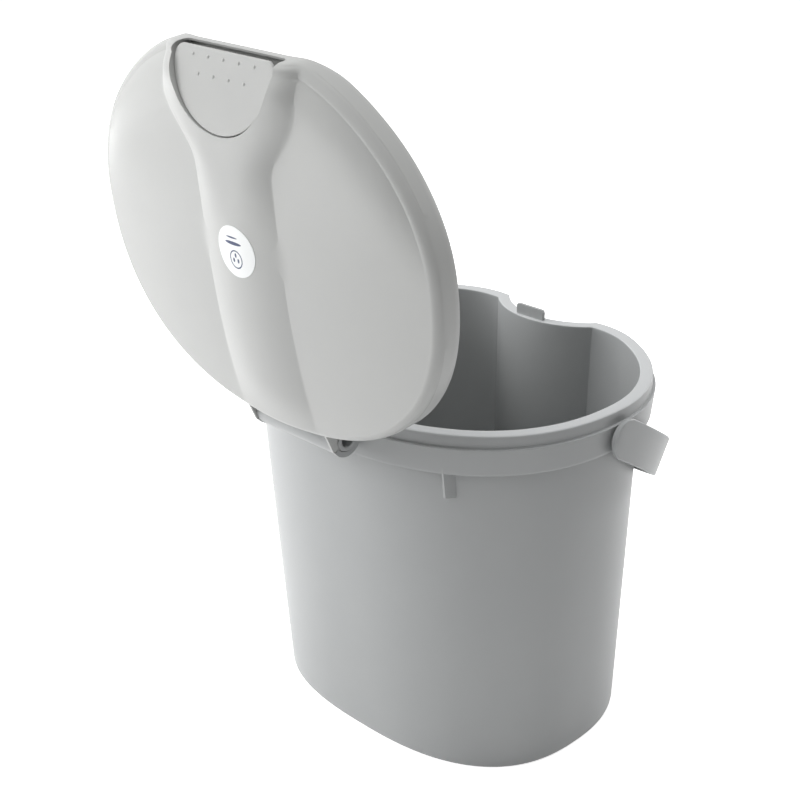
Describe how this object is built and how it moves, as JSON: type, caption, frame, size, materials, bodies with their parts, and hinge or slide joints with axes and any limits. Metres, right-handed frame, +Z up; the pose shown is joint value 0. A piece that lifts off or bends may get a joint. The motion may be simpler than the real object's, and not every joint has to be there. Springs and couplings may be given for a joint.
{
  "type": "nappy bin",
  "caption": "Oval lidded pail for used nappies, with a hinged domed lid, a press-to-open catch panel, a carry handle and a dented front.",
  "frame": {"origin": "middle of the pail's base on the floor, under the cross line of the rim outline", "axes": "+X along the hinge to the object's left as seen from the front, -Y toward the front where the catch and the press panel are, +Z up"},
  "size_m": [0.3204, 0.3278, 0.514],
  "materials": {
    "pail_plastic": "satin moulded polypropylene",
    "pin_plastic": "satin moulded polypropylene",
    "lid_plastic": "semi-gloss moulded polypropylene",
    "handle_plastic": "satin moulded polypropylene",
    "sticker_film": "glossy printed film",
    "steel": "bright drawn steel"
  },
  "bodies": {
    "base": {"pail": "pail_plastic", "hinge_pin_left": "pin_plastic", "hinge_pin_right": "pin_plastic"},
    "lid": {"lid_shell": "lid_plastic", "lid_sticker": "sticker_film", "panel_axle": "steel", "panel_spring": "steel"},
    "catch_panel": {"press_panel": "lid_plastic"},
    "handle": {"carry_handle": "handle_plastic"}
  },
  "joints": [
    {"name": "lid_hinge", "type": "hinge", "parent": "base", "child": "lid", "pos_m": [0, 0.137, 0.2585], "axis": [1, 0, 0], "range_deg": [0, 96.4]},
    {"name": "panel_press", "type": "hinge", "parent": "lid", "child": "catch_panel", "pos_m": [0, 0.16422, 0.46978], "axis": [1, 0, 0], "range_deg": [0, 6], "stiffness_Nm_per_rad": 1.5, "springref_deg": -5.73, "deforming": ["panel_spring"]},
    {"name": "handle_swing", "type": "hinge", "parent": "base", "child": "handle", "pos_m": [0, -0.002, 0.25], "axis": [-1, 0, 0], "range_deg": [0, 122.5]}
  ]
}
